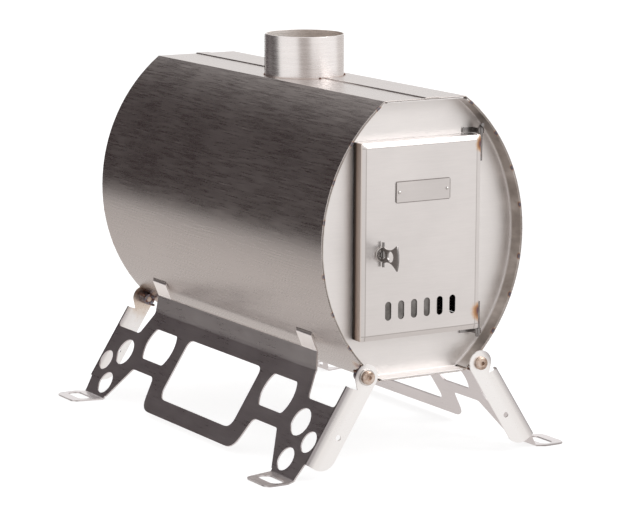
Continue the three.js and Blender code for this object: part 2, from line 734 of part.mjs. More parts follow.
// A rod in the plane of y and z, through stations [y, z, direction in degrees from +y].
function bentRod(x, stations, radius) {
  const sides = Array.from({ length: 12 }, (_, i) => i * 30 * degrees);
  return lofted(stations.map(([y, z, direction]) => {
    const along = new THREE.Vector3(0, Math.cos(direction * degrees), Math.sin(direction * degrees));
    const across = new THREE.Vector3().crossVectors(X, along);
    return sides.map((angle) => new THREE.Vector3(x, y, z)
      .addScaledVector(X, radius * Math.cos(angle))
      .addScaledVector(across, radius * Math.sin(angle)));
  }));
}

function makeUpperPin() {
  const bendZ = doorTop + STRAP_CLEARANCE + STRAP_HEIGHT + GAP;
  const centreY = pinY - PIN_BEND_RADIUS;
  const bend = [0, 22.5, 45, 67.5, 90].map((turn) => [
    centreY + PIN_BEND_RADIUS * Math.cos(turn * degrees),
    bendZ + PIN_BEND_RADIUS * Math.sin(turn * degrees),
    90 + turn,
  ]);
  return bentRod(pinX, [
    [pinY, doorTop - PIN_WELD_LENGTH, 90],
    ...bend,
    [centreY - PIN_HOOK, bendZ + PIN_BEND_RADIUS, 180],
  ], PIN_RADIUS);
}

function makeLowerPin() {
  return bentRod(pinX, [
    [pinY, doorBottom - PIN_TAIL, 90],
    [pinY, doorBottom + PIN_WELD_LENGTH, 90],
  ], PIN_RADIUS);
}

// A strap bent round the pin, with its tab flat on the front panel.
function makeStrap(fromZ, toZ) {
  const bore = PIN_RADIUS + GAP;
  const wrap = bore + STRAP_SHEET;
  const back = panelFace - GAP;
  const left = pinX - wrap;
  const ring = acrossXY(circle(pinX, pinY, wrap), fromZ, toZ, 12);
  const arm = box(left, left + STRAP_SHEET, pinY, back, fromZ, toZ);
  const tab = box(left - STRAP_TAB, left + STRAP_SHEET, back - STRAP_SHEET, back, fromZ, toZ);
  const hole = acrossXY(circle(pinX, pinY, bore), fromZ - CUT, toZ + CUT, 12);
  return united([ring, arm, tab]).subtract(hole);
}

// ---------------------------------------------------------------- legs, drawn on the right side

// A point of the leg's section: out from the hinge axis, and down along the plate.
function legPoint(out, down) {
  const point = new THREE.Vector3(hingeX, 0, hingeZ);
  return point.addScaledVector(legOut, out).addScaledVector(legDown, down);
}

function legPlateShape(halfWidth) {
  const foot = LEG_LENGTH - legTangent;
  const right = [
    [FLANGE_HALF_FOOT, FLANGE_BEND + legTangent],
    [NOTCH_INNER, NOTCH_BOTTOM, 6],
    [NOTCH_OUTER, NOTCH_BOTTOM, 4],
    [NOTCH_OUTER, EAR_START],
    [halfWidth, EAR_START],
    [halfWidth, EAR_LENGTH],
    [FOOT_OUTER + FOOT_HEEL, EAR_LENGTH],
    [FOOT_OUTER, foot],
    [FOOT_INNER - legTangent / 2, foot],
    [ARCH_OUTER, ARCH_TOP, 5],
    [ARCH_INNER[0], ARCH_TOP, 8],
    [ARCH_INNER[1], PLATE_FOOT, 18],
  ];
  const left = right.map(([y, b, radius]) => [-y, b, radius]).reverse();
  const shape = new THREE.Shape(roundedOutline([...right, ...left]));
  const { half, top, bottom, upperRadius, lowerRadius } = WINDOW;
  shape.holes.push(new THREE.Path(roundedOutline([
    [-half, top, upperRadius], [half, top, upperRadius],
    [half, bottom, lowerRadius], [-half, bottom, lowerRadius],
  ])));
  const lowerHole = { y: footMiddle - LOWER_HOLE.offset, ...LOWER_HOLE };
  [-1, 1].forEach((end) => {
    [UPPER_HOLE, OUTER_HOLE, lowerHole].forEach(({ y, b, radius }) => {
      shape.holes.push(circle(end * y, b, radius));
    });
    shape.holes.push(flattedCircle(end * FLAT_HOLE.y));
  });
  return shape;
}

function flattedCircle(y) {
  const { b, radius, half, corner } = FLAT_HOLE;
  const angle = Math.asin(half / radius);
  const flat = radius * Math.cos(angle);
  const steps = [-0.84, -0.6, -0.36, -0.12, 0.12, 0.36, 0.6, 0.84];
  const arc = (from) => steps.map((step) => [
    y + radius * Math.cos(from + step * angle), b + radius * Math.sin(from + step * angle),
  ]);
  return new THREE.Path(roundedOutline([
    [y + flat, b - half, corner], ...arc(0), [y + flat, b + half, corner],
    [y - flat, b + half, corner], ...arc(Math.PI), [y - flat, b - half, corner],
  ]));
}

function earShape() {
  const shape = new THREE.Shape();
  const bendEdge = LEG_OFFSET - LEG_SHEET - LEG_BEND_RADIUS;
  const cornerB = EAR_LENGTH - EAR_CORNER;
  shape.absarc(0, 0, EAR_RADIUS, EAR_NOTCH.angle * degrees, Math.PI, true);
  shape.absarc(EAR_CORNER - EAR_RADIUS, cornerB, EAR_CORNER, Math.PI, Math.PI / 2, true);
  shape.lineTo(bendEdge, EAR_LENGTH);
  shape.lineTo(bendEdge, EAR_START);
  shape.lineTo(EAR_NOTCH.a, EAR_NOTCH.b);
  shape.holes.push(circle(0, 0, BOLT_RADIUS + GAP));
  shape.holes.push(circle(EAR_HOLE.a, EAR_HOLE.b, EAR_HOLE.radius));
  return shape;
}

// Plan of a foot tab and its bend, in x and y.
function footPlan(end) {
  const bend = legPoint(LEG_OFFSET, LEG_LENGTH).x;
  const back = bend - FOOT_DEPTH;
  const tip = bend + FOOT_DEPTH;
  const [innerSplay, outerSplay] = FOOT_SPLAY;
  const points = [
    [back, FOOT_INNER],
    [bend, FOOT_INNER],
    [tip, FOOT_INNER + innerSplay, FOOT_CORNER],
    [tip, FOOT_OUTER + outerSplay, FOOT_CORNER],
    [bend + FOOT_CORNER, FOOT_OUTER + outerSplay, 4],
    [bend, FOOT_OUTER],
    [back, FOOT_OUTER],
  ];
  const plan = end > 0 ? points : points.map(([x, y, radius]) => [x, -y, radius]).reverse();
  return new THREE.Shape(roundedOutline(plan));
}

function footHole(end) {
  const x = legPoint(LEG_OFFSET, LEG_LENGTH).x + FOOT_HOLE_REACH;
  const y = end * (footMiddle + (FOOT_HOLE_INNER + FOOT_HOLE_OUTER) / 2);
  const length = footWidth - FOOT_HOLE_INNER + FOOT_HOLE_OUTER;
  const radius = length / FOOT_HOLE_SLIMNESS / 2;
  const straight = length / 2 - radius;
  const shape = new THREE.Shape();
  shape.absarc(x, y + straight, radius, 0, Math.PI, false);
  shape.absarc(x, y - straight, radius, Math.PI, 2 * Math.PI, false);
  return shape;
}

// One foot tab with its bend, at the rear (end = 1) or the front (end = -1).
function footTab(end) {
  const { x, z } = legPoint(LEG_OFFSET, LEG_LENGTH);
  const up = legPoint(LEG_OFFSET, LEG_LENGTH - legTangent - CUT);
  const strip = bentStrip([[up.x, up.z], [x, z], [x + FOOT_DEPTH, z]], LEG_SHEET, LEG_BEND_RADIUS);
  const middle = end * footMiddle;
  const below = z - LEG_SHEET - CUT;
  return acrossXZ(strip, middle - footWidth, middle + footWidth)
    .intersect(acrossXY(footPlan(end), below, z + FOOT_DEPTH))
    .subtract(acrossXY(footHole(end), below, z + CUT, 6));
}

// The upper flange, with the two tabs that hook into the barrel's slots. A hook runs square to
// the line from the hinge, so that it slides out of its slot as the leg folds.
function legFlange() {
  const foot = legPoint(LEG_OFFSET, FLANGE_BEND);
  const overlap = legPoint(LEG_OFFSET, FLANGE_BEND + 2 * legTangent);
  const tabBendX = halfWidthAt(tabBendZ, 0) + TAB_STANDOFF;
  const hook = new THREE.Vector2(-TAB_RISE, tabBendX - hingeX).setLength(TAB_HOOK);
  const tip = hook.clone().add(new THREE.Vector2(tabBendX, tabBendZ));
  const strip = bentStrip([
    [tip.x, tip.y],
    [tabBendX, tabBendZ],
    [halfWidthAt(flangeTopZ, 0) + FLANGE_STANDOFF, flangeTopZ],
    [foot.x, foot.z],
    [overlap.x, overlap.z],
  ], LEG_SHEET, LEG_BEND_RADIUS);
  const tabInner = FLANGE_HALF_TOP - TAB_LENGTH;
  const outline = [
    [FLANGE_HALF_FOOT, foot.z - FLANGE_RISE], [FLANGE_HALF_FOOT, foot.z],
    [FLANGE_HALF_TOP, flangeTopZ], [FLANGE_HALF_TOP, tip.y, TAB_CORNER],
    [tabInner, tip.y, TAB_CORNER], [tabInner, flangeTopZ],
  ];
  const mirrored = outline.map(([y, z, radius]) => [-y, z, radius]).reverse();
  const front = new THREE.Shape(roundedOutline([...outline, ...mirrored]));
  return acrossXZ(strip, -FLANGE_HALF_FOOT, FLANGE_HALF_FOOT)
    .intersect(acrossYZ(front, 0, BODY_HALF_WIDTH));
}

// One ear with its bend, at the rear (end = 1) or the front (end = -1).
function legEar(end, earFace) {
  const outer = earFace + LEG_SHEET;
  const origin = new THREE.Vector3(hingeX, end > 0 ? earFace : -outer, hingeZ);
  const ear = placed(extruded(earShape(), LEG_SHEET, 10), legOut, legDown, Y, origin);
  const corner = [
    [end * (outer - legTangent - CUT), LEG_OFFSET],
    [end * outer, LEG_OFFSET],
    [end * outer, LEG_OFFSET - legTangent - CUT],
  ];
  const bend = bentStrip(end > 0 ? corner : corner.reverse(), LEG_SHEET, LEG_BEND_RADIUS);
  const start = legPoint(0, EAR_START);
  return ear.add(placed(extruded(bend, EAR_LENGTH - EAR_START, 4), Y, legOut, legDown, start));
}

function makeLeg(earFace) {
  const halfPlate = earFace + LEG_SHEET - legTangent;
  const inwards = legOut.clone().negate();
  const outside = legPoint(LEG_OFFSET, 0);
  const plate = placed(
    extruded(legPlateShape(halfPlate), LEG_SHEET, 10), Y, legDown, inwards, outside,
  );
  return united([
    plate, footTab(-1), footTab(1), legFlange(), legEar(-1, earFace), legEar(1, earFace),
  ]);
}

// ---------------------------------------------------------------- leg fasteners

// All of these are drawn at the right rear corner, along +y.
function makeBolt() {
  const seat = boltSeat;
  const end = rimY - NUT_LENGTH + BOLT_SHORT_OF_NUT;
  const top = seat + BOLT_HEAD_HEIGHT;
  const dome = [0, 30, 60].map((turn) => [
    BOLT_HEAD_RADIUS - BOLT_DOME * (1 - Math.cos(turn * degrees)),
    top - BOLT_DOME * (1 - Math.sin(turn * degrees)),
  ]);
  dome.push([BOLT_HEAD_RADIUS - BOLT_DOME, top]);
  const profile = [
    [0, end],
    [BOLT_RADIUS, end],
    [BOLT_RADIUS, seat],
    [BOLT_HEAD_RADIUS, seat],
    ...dome,
    [0, top],
  ].map(([r, y]) => new THREE.Vector2(r, y));
  const geometry = new THREE.LatheGeometry(profile, 24);
  const socket = acrossXZ(hexagon(0, 0, BOLT_SOCKET_FLATS), top - BOLT_SOCKET_DEPTH, top + CUT);
  return solid(geometry).subtract(socket).translate([hingeX, 0, hingeZ]);
}

function makeNut() {
  const from = rimY - NUT_LENGTH;
  const to = rimY + EAR_RUNNING_GAP - GAP;
  const nut = rod(hingeX, hingeZ, NUT_RADIUS, from, to, 24);
  const bore = rod(hingeX, hingeZ, BOLT_RADIUS + GAP, from - CUT, to + CUT, 20);
  return cut(nut, [bore, barrelSlab(-GAP, from - CUT, to + CUT)]);
}

function makeWasher(seat) {
  const ring = rod(hingeX, hingeZ, WASHER_RADIUS, seat, seat + WASHER_SHEET, 24);
  return ring.subtract(rod(
    hingeX, hingeZ, BOLT_RADIUS + GAP, seat - CUT, seat + WASHER_SHEET + CUT, 20,
  ));
}

// ---------------------------------------------------------------- assembly

const stove = new THREE.Group();
stove.name = 'tent_wood_stove';

function add(name, body, material, mirrored) {
  const mesh = meshOf(name, body, material, mirrored);
  stove.add(mesh);
  return mesh;
}

function turned(mesh) {
  mesh.rotation.z = Math.PI;
  return mesh;
}

add('body_shell', makeShell(), shellSteel);
add('front_panel', makeFrontPanel(), panelSteel);
turned(add('rear_panel', makePanel(), panelSteel));
add('flue_collar', makeCollar(), collarSteel);
add('fire_grate', makeGrate(), grateSteel);

add('door_pan', makeDoor(), doorSteel);
add('door_heat_shield', makeShield(), panelSteel);
add('air_slide', makeSlide(), panelSteel);
add('slide_rail_upper', makeRail(1), panelSteel);
add('slide_rail_lower', makeRail(-1), panelSteel);
add('door_plate', makePlate(), panelSteel);
add('plate_rivet_left', makeRivet(rivetXs()[0]), fastenerSteel);
add('plate_rivet_right', makeRivet(rivetXs()[1]), fastenerSteel);
add('door_pin_upper', makeUpperPin(), fastenerSteel);
add('door_pin_lower', makeLowerPin(), fastenerSteel);
const upperStrapZ = doorTop + STRAP_CLEARANCE;
const lowerStrapZ = doorBottom - STRAP_CLEARANCE - STRAP_HEIGHT;
add('hinge_strap_upper', makeStrap(upperStrapZ, upperStrapZ + STRAP_HEIGHT), panelSteel);
add('hinge_strap_lower', makeStrap(lowerStrapZ, lowerStrapZ + STRAP_HEIGHT), panelSteel);

add('latch_wing', makeLatchWing(), fastenerSteel);
add('latch_washer', makeLatchWasher(), panelSteel);
add('latch_tongue', makeTongue(), fastenerSteel);
add('latch_nut', makeLatchNut(), fastenerSteel);

// The right leg's ears pass outside the left leg's, so that one leg folds over the other.
add('leg_left', makeLeg(innerEar), legSteel, true);
add('leg_right', makeLeg(outerEar), legSteel);

// Four hinge corners: the left leg's washers lie under the bolt heads, the right leg's
// washers fill the room between the barrel rim and the ear.
[
  { corner: 'rear_right', mirrored: false, half: false, washer: innerEar },
  { corner: 'rear_left', mirrored: true, half: false, washer: outerEar },
  { corner: 'front_left', mirrored: false, half: true, washer: outerEar },
  { corner: 'front_right', mirrored: true, half: true, washer: innerEar },
].forEach(({ corner, mirrored, half, washer }) => {
  const pieces = [
    add(`hinge_nut_${corner}`, makeNut(), scaledSteel, mirrored),
    add(`hinge_bolt_${corner}`, makeBolt(), fastenerSteel, mirrored),
    add(`hinge_washer_${corner}`, makeWasher(washer), fastenerSteel, mirrored),
  ];
  if (half) pieces.forEach(turned);
});

// The feet stand on z = 0, and the middle of the part's length is y = 0.
stove.position.set(0, (frontReach - rearReach) / 2, -floorZ);
stove.updateMatrixWorld(true);

export default stove;
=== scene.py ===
import math

import bmesh
import bpy
from mathutils import Matrix, Vector


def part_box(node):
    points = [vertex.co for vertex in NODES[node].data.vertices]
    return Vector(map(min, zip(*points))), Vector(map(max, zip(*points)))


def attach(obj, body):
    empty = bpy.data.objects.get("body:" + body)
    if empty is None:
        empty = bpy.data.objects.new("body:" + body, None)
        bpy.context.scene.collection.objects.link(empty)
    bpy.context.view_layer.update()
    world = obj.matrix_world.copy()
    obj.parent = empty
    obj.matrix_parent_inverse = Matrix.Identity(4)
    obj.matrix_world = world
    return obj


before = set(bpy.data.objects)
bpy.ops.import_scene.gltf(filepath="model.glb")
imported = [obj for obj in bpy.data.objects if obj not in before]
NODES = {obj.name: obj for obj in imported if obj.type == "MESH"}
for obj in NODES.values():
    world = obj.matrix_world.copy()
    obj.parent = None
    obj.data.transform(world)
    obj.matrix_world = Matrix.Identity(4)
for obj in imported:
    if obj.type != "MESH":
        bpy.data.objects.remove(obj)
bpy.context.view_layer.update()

MM = 0.001


# ---------------------------------------------------------------- places, from the frame

def middle(node):
    low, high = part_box(node)
    return (Vector(low) + Vector(high)) / 2


SHELL_LOW, SHELL_HIGH = (Vector(corner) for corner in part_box("body_shell"))
LAP_HEIGHT = 1.0 * MM                  # the lapped seam stands above the cooking top
BARREL_BOTTOM = SHELL_LOW.z
BARREL_TOP = SHELL_HIGH.z - LAP_HEIGHT
SIDE_RADIUS = 168.6 * MM
SIDE_CENTRE = SIDE_RADIUS - SHELL_HIGH.x
TOP_FLAT_HALF = 46.0 * MM
AXIS_Z = BARREL_TOP - math.sqrt(SIDE_RADIUS ** 2 - (TOP_FLAT_HALF + SIDE_CENTRE) ** 2)
FRONT_RIM = SHELL_LOW.y
REAR_RIM = SHELL_HIGH.y
BODY_MIDDLE = (FRONT_RIM + REAR_RIM) / 2
COLLAR = middle("flue_collar")
PANEL_SHEET = 1.0 * MM
PANEL_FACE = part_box("front_panel")[1][1] - PANEL_SHEET


def side_point(angle, y, side, out=0.0):
    """A point on the barrel's side wall, at an angle in degrees above its middle."""
    radius = SIDE_RADIUS + out
    x = radius * math.cos(math.radians(angle)) - SIDE_CENTRE
    return Vector((side * x, y, AXIS_Z + radius * math.sin(math.radians(angle))))


# ---------------------------------------------------------------- node helpers

class Nodes:
    """A material's node tree, built a node at a time."""

    def __init__(self, name):
        self.material = bpy.data.materials.new(name)
        self.material.use_nodes = True
        self.tree = self.material.node_tree
        self.shader = self.tree.nodes["Principled BSDF"]
        self.place = self.add("ShaderNodeTexCoord").outputs["Object"]

    def add(self, kind, **settings):
        node = self.tree.nodes.new(kind)
        for key, value in settings.items():
            setattr(node, key, value)
        return node

    def link(self, source, target):
        self.tree.links.new(source, target)

    def feed(self, node, name, value):
        if isinstance(value, bpy.types.NodeSocket):
            self.link(value, node.inputs[name])
        else:
            node.inputs[name].default_value = value

    def stretched(self, scale):
        node = self.add("ShaderNodeMapping")
        node.inputs["Scale"].default_value = scale
        self.link(self.place, node.inputs["Vector"])
        return node.outputs["Vector"]

    def noise(self, vector, scale=1.0, detail=3.0, roughness=0.55):
        node = self.add("ShaderNodeTexNoise")
        node.inputs["Scale"].default_value = scale
        node.inputs["Detail"].default_value = detail
        node.inputs["Roughness"].default_value = roughness
        self.link(vector, node.inputs["Vector"])
        return node.outputs["Fac"]

    def math(self, operation, first, second=0.0, clamp=False):
        node = self.add("ShaderNodeMath", operation=operation, use_clamp=clamp)
        self.feed(node, 0, first)
        self.feed(node, 1, second)
        return node.outputs["Value"]

    def between(self, value, low, high, out_low=0.0, out_high=1.0, smooth=False):
        node = self.add("ShaderNodeMapRange")
        node.interpolation_type = "SMOOTHSTEP" if smooth else "LINEAR"
        self.feed(node, "Value", value)
        node.inputs["From Min"].default_value = low
        node.inputs["From Max"].default_value = high
        node.inputs["To Min"].default_value = out_low
        node.inputs["To Max"].default_value = out_high
        return node.outputs["Result"]

    def ramp(self, value, stops):
        node = self.add("ShaderNodeValToRGB")
        ramp = node.color_ramp
        while len(ramp.elements) < len(stops):
            ramp.elements.new(0.5)
        for element, (place, color) in zip(ramp.elements, stops):
            element.position = place
            element.color = (*color, 1.0)
        self.link(value, node.inputs["Fac"])
        return node.outputs["Color"]

    def mix(self, factor, first, second, blend="MIX"):
        node = self.add("ShaderNodeMix", data_type="RGBA", blend_type=blend)
        for index, value in ((0, factor), (6, first), (7, second)):
            if isinstance(value, bpy.types.NodeSocket):
                self.link(value, node.inputs[index])
            elif isinstance(value, (float, int)):
                node.inputs[index].default_value = value
            else:
                node.inputs[index].default_value = (*value, 1.0)
        return node.outputs[2]

    def distance(self, point):
        node = self.add("ShaderNodeVectorMath", operation="DISTANCE")
        self.link(self.place, node.inputs[0])
        node.inputs[1].default_value = point
        return node.outputs["Value"]

    def axis(self, letter):
        node = self.add("ShaderNodeSeparateXYZ")
        self.link(self.place, node.inputs["Vector"])
        return node.outputs[letter]

    def bump(self, height, distance, strength=1.0):
        node = self.add("ShaderNodeBump")
        node.inputs["Strength"].default_value = strength
        node.inputs["Distance"].default_value = distance
        self.link(height, node.inputs["Height"])
        self.link(node.outputs["Normal"], self.shader.inputs["Normal"])


# ---------------------------------------------------------------- steel

GRAIN_FINE = 620.0                    # cycles a metre across the brushing
GRAIN_LONG = 42.0                     # and along it
BARREL_FINE = 760.0                   # the same for the barrel's long strokes
BARREL_LONG = 26.0
GIRTH_FINE = 900.0                    # and for strokes round the collar
GIRTH_LONG = 30.0
ALONG = {
    "X": (GRAIN_LONG, GRAIN_FINE, GRAIN_FINE),
    "Y": (GRAIN_FINE, GRAIN_LONG, GRAIN_FINE),
    "Z": (GRAIN_FINE, GRAIN_FINE, GRAIN_LONG),
    "barrel": (BARREL_FINE, BARREL_LONG, BARREL_FINE),
    "girth": (GIRTH_LONG, GIRTH_LONG, GIRTH_FINE),
}
SMUDGE_SCALE = 14.0
SMUDGE_SPREAD = 0.06                  # how far smudges change the roughness
GRAIN_DEPTH = 0.02 * MM
GRAIN_STRENGTH = 0.15
NOISE_MIDDLE = (0.3, 0.7)             # where most of a noise's values lie

STRAW = (0.62, 0.40, 0.20)
BRONZE = (0.36, 0.17, 0.08)
PURPLE = (0.13, 0.06, 0.09)
BLUE = (0.07, 0.09, 0.15)
SCALE = (0.028, 0.020, 0.018)
TEMPER = ((0.0, SCALE), (0.25, BLUE), (0.42, PURPLE), (0.62, BRONZE), (0.85, STRAW))
DOOR_TEMPER = ((0.0, BLUE), (0.22, PURPLE), (0.42, BRONZE), (0.7, (0.60, 0.30, 0.10)), (1.0, STRAW))
EAR_TEMPER = ((0.0, (0.40, 0.24, 0.13)), (0.45, (0.66, 0.50, 0.36)), (1.0, (0.86, 0.78, 0.70)))

SHELL_COLOR = (0.52, 0.475, 0.455)
PANEL_COLOR = (0.78, 0.75, 0.735)
DOOR_COLOR = (0.715, 0.68, 0.665)
PLATE_COLOR = (0.62, 0.585, 0.57)
LEG_COLOR = (0.70, 0.66, 0.66)
# painted light on the legs' upper flange
FLANGE_PAINTED_LIGHT = (0.99, 0.95, 0.93)
COLLAR_COLOR = (0.84, 0.80, 0.785)
# painted light on the collar's inside
COLLAR_INSIDE_LIGHT = (0.88, 0.83, 0.79)
COLLAR_BROWNED = (0.42, 0.335, 0.285)
SEAM_COLOR = (0.09, 0.07, 0.06)
FASTENER_COLOR = (0.66, 0.63, 0.61)
LATCH_COLOR = (0.27, 0.255, 0.25)
# painted shade along the door border's folds
FOLD_SHADE_COLOR = (0.30, 0.27, 0.25)
PLATE_EDGE_BAND_COLOR = (0.10, 0.075, 0.065)
# Stops along a noise, or along a place on the piece.
# The panels' flange wall: stain and painted shade.
PANEL_STAIN_AND_SHADE = ((0.3, (0.26, 0.22, 0.19)), (0.55, (0.42, 0.37, 0.335)), (0.75, (0.62, 0.57, 0.53)))
# The door's left wall: browned, then painted shade almost black where its gap to the panel lies.
WALL_BROWNING_AND_GAP_SHADE = (
    (0.0, (0.72, 0.66, 0.62)), (0.30, (0.58, 0.50, 0.45)), (0.55, (0.40, 0.31, 0.26)),
    (0.68, (0.07, 0.05, 0.04)), (1.0, (0.02, 0.015, 0.012)),
)
# The legs' ears: painted light, darkening to painted shade at their bend.
EAR_LIGHT_AND_BEND_SHADE = (
    (0.0, (0.97, 0.955, 0.945)), (0.55, (0.90, 0.875, 0.86)),
    (0.85, (0.62, 0.59, 0.585)), (1.0, (0.33, 0.30, 0.30)),
)
BOLT_BROWN = ((0.35, (0.30, 0.21, 0.16)), (0.55, (0.62, 0.49, 0.41)), (0.75, (0.74, 0.66, 0.60)))
NUT_SCALE = (
    (0.30, (0.05, 0.032, 0.028)), (0.43, (0.22, 0.12, 0.10)),
    (0.55, (0.22, 0.24, 0.30)), (0.70, (0.42, 0.33, 0.26)),
)
BEAD_COLORS = ((0.25, (0.05, 0.035, 0.03)), (0.5, (0.20, 0.10, 0.07)), (0.8, (0.32, 0.27, 0.26)))
SOOT_COLORS = ((0.3, (0.10, 0.092, 0.086)), (0.7, (0.27, 0.255, 0.245)))

NUT_TINT = 19.0 * MM                  # reach of the heat colours round each kind of weld
TACK_TINT = 3.6 * MM
PANEL_TACK_TINT = 4.5 * MM
STRAP_TINT = 6.0 * MM
REAR_EAR_TINT = 30.0 * MM
FRONT_EAR_TINT = 12.0 * MM
FOOT_RING = (40.0 * MM, 45.0 * MM)    # browned ring round the collar's foot
COLLAR_BORE = (39.0 * MM, 39.6 * MM)  # the collar's wall, between its inside and outside
FOLD_INSET = 5.0 * MM                 # the door's border
FOLD_LINE = (0.2 * MM, 0.7 * MM)
EAR_SLOPE = math.radians(32.5)


def brushed(nodes, color, grain, strength=0.10, smudge=0.06, roughness=0.32, uneven=0.1):
    """Base colour, roughness and bump of brushed sheet, with its grain along one axis."""
    fine = nodes.noise(nodes.stretched(ALONG[grain]), 1.0, 4.0, 0.7)
    cloud = nodes.noise(nodes.place, SMUDGE_SCALE, 3.0)
    line = nodes.between(fine, 0.25, 0.75, 1.0 - strength, 1.0 + strength)
    patch = nodes.between(cloud, *NOISE_MIDDLE, 1.0 - smudge, 1.0 + smudge)
    shade = nodes.math("MULTIPLY", line, patch)
    tone = nodes.add("ShaderNodeCombineColor")
    for channel in ("Red", "Green", "Blue"):
        nodes.link(shade, tone.inputs[channel])
    base = nodes.mix(1.0, tone.outputs["Color"], color, blend="MULTIPLY")
    streak = nodes.between(fine, 0.32, 0.68, 1.0 - uneven, 1.0 + uneven)
    low, high = roughness * (1 - SMUDGE_SPREAD), roughness * (1 + SMUDGE_SPREAD)
    rough = nodes.math("MULTIPLY", streak, nodes.between(cloud, *NOISE_MIDDLE, low, high))
    nodes.link(rough, nodes.shader.inputs["Roughness"])
    nodes.shader.inputs["Metallic"].default_value = 1.0
    nodes.bump(fine, GRAIN_DEPTH, GRAIN_STRENGTH)
    return base


def heat_tint(nodes, base, point, radius, strength=0.9, stops=TEMPER):
    """Tempering colours round a weld: scale at its middle, then blue, purple and straw."""
    wobble = nodes.between(nodes.noise(nodes.place, 120.0, 2.0), 0.2, 0.8, 0.8, 1.25)
    spread = nodes.math("DIVIDE", nodes.math("MULTIPLY", nodes.distance(point), wobble), radius)
    colors = nodes.ramp(spread, stops)
    cover = nodes.between(spread, 0.45, 1.0, strength, 0.0, smooth=True)
    return nodes.mix(cover, base, colors)


def finish_material(nodes, base):
    nodes.link(base, nodes.shader.inputs["Base Color"])
    return nodes.material


def ring_distance(nodes):
    """Distance from the collar's upright axis."""
    flat = nodes.add("ShaderNodeMapping")
    flat.inputs["Scale"].default_value = (1.0, 1.0, 0.0)
    nodes.link(nodes.place, flat.inputs["Vector"])
    node = nodes.add("ShaderNodeVectorMath", operation="DISTANCE")
    nodes.link(flat.outputs["Vector"], node.inputs[0])
    node.inputs[1].default_value = (COLLAR.x, COLLAR.y, 0.0)
    return node.outputs["Value"]


def rim_tints(nodes, base, radius, strength, out=0.0):
    """A small tempered patch round every rim tack."""
    for side in (-1, 1):
        for angle in SIDE_TACKS:
            for rim in (FRONT_RIM, REAR_RIM):
                base = heat_tint(nodes, base, side_point(angle, rim, side, out), radius, strength)
    return base


def shell_steel():
    nodes = Nodes("shell_steel")
    base = brushed(
        nodes, SHELL_COLOR, "barrel", strength=0.12, smudge=0.03, roughness=0.29, uneven=0.20,
    )
    for node in WELD_NUTS:
        base = heat_tint(nodes, base, middle(node), NUT_TINT, 0.85)
    base = rim_tints(nodes, base, TACK_TINT, 0.55)
    near = nodes.between(ring_distance(nodes), *FOOT_RING, 1.0, 0.0, smooth=True)
    high = nodes.between(nodes.axis("Z"), BARREL_TOP - 4 * MM, BARREL_TOP - 1 * MM)
    ring = nodes.math("MULTIPLY", near, high)
    base = nodes.mix(nodes.math("MULTIPLY", ring, 0.25), base, BRONZE)
    return finish_material(nodes, base)


def face_steel(name, color, grain, roughness):
    nodes = Nodes(name)
    base = brushed(nodes, color, grain, strength=0.03, smudge=0.035, roughness=roughness)
    return nodes, base


def panel_steel():
    """The dished panels: pale on the face; up the flange to the rim, darker, stained and in painted
    shade.
    """
    nodes, base = face_steel("panel_steel", PANEL_COLOR, "X", 0.44)
    for strap in ("hinge_strap_upper", "hinge_strap_lower"):
        base = heat_tint(nodes, base, middle(strap), STRAP_TINT, 0.5)
    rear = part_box("rear_panel")[0][1] + PANEL_SHEET
    y = nodes.axis("Y")
    front = nodes.between(y, PANEL_FACE - 3.5 * MM, PANEL_FACE - 1.2 * MM, 1.0, 0.0)
    behind = nodes.between(y, rear + 1.2 * MM, rear + 3.5 * MM, 0.0, 1.0)
    wide = nodes.between(nodes.math("ABSOLUTE", nodes.axis("X")), 48 * MM, 56 * MM)
    cloud = nodes.noise(nodes.stretched((60.0, 25.0, 60.0)), 1.0, 3.0)
    # stain and painted shade on the flange wall in the panel's recess
    stain_and_shade = nodes.ramp(cloud, PANEL_STAIN_AND_SHADE)
    wall = nodes.math("MULTIPLY", nodes.math("MAXIMUM", front, behind), wide)
    base = nodes.mix(nodes.math("MULTIPLY", wall, 0.9), base, stain_and_shade)
    base = rim_tints(nodes, base, PANEL_TACK_TINT, 0.8, -1.5 * MM)
    return finish_material(nodes, base)


def fold_shade_lines(nodes, base, low, high, inset, color, strength):
    """Thin lines of painted shade where the door's sloping border meets its flat face."""
    lines = None
    for axis, edges in (("X", (low.x, high.x)), ("Z", (low.z, high.z))):
        place = nodes.axis(axis)
        for edge, inward in zip(edges, (1, -1)):
            gap = nodes.math("ABSOLUTE", nodes.math("SUBTRACT", place, edge + inward * inset))
            line = nodes.between(gap, *FOLD_LINE, 1.0, 0.0, smooth=True)
            lines = line if lines is None else nodes.math("MAXIMUM", lines, line)
    front = nodes.between(nodes.axis("Y"), low.y + 1.2 * MM, low.y + 1.8 * MM, 1.0, 0.0)
    cover = nodes.math("MULTIPLY", nodes.math("MULTIPLY", lines, front), strength)
    return nodes.mix(cover, base, color)


def door_steel():
    """A pale face; the left wall is browned, and carries painted shade, almost black, towards the
    panel where its gap lies.
    """
    nodes, base = face_steel("door_steel", DOOR_COLOR, "X", 0.36)
    low, high = (Vector(corner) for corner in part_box("door_pan"))
    base = fold_shade_lines(nodes, base, low, high, FOLD_INSET, FOLD_SHADE_COLOR, 0.55)
    for z, reach in ((high.z - 9 * MM, 11 * MM), (low.z + 17 * MM, 12 * MM)):
        place = (high.x + 1 * MM, low.y + 3 * MM, z)
        base = heat_tint(nodes, base, place, reach, 0.95, DOOR_TEMPER)
    side = nodes.between(nodes.axis("X"), low.x + 0.6 * MM, low.x + 1.6 * MM, 1.0, 0.0)
    depth = nodes.between(nodes.axis("Y"), low.y + 1 * MM, PANEL_FACE)
    # painted shade: the left wall darkens almost to black towards the panel
    base = nodes.mix(side, base, nodes.ramp(depth, WALL_BROWNING_AND_GAP_SHADE))
    return finish_material(nodes, base)


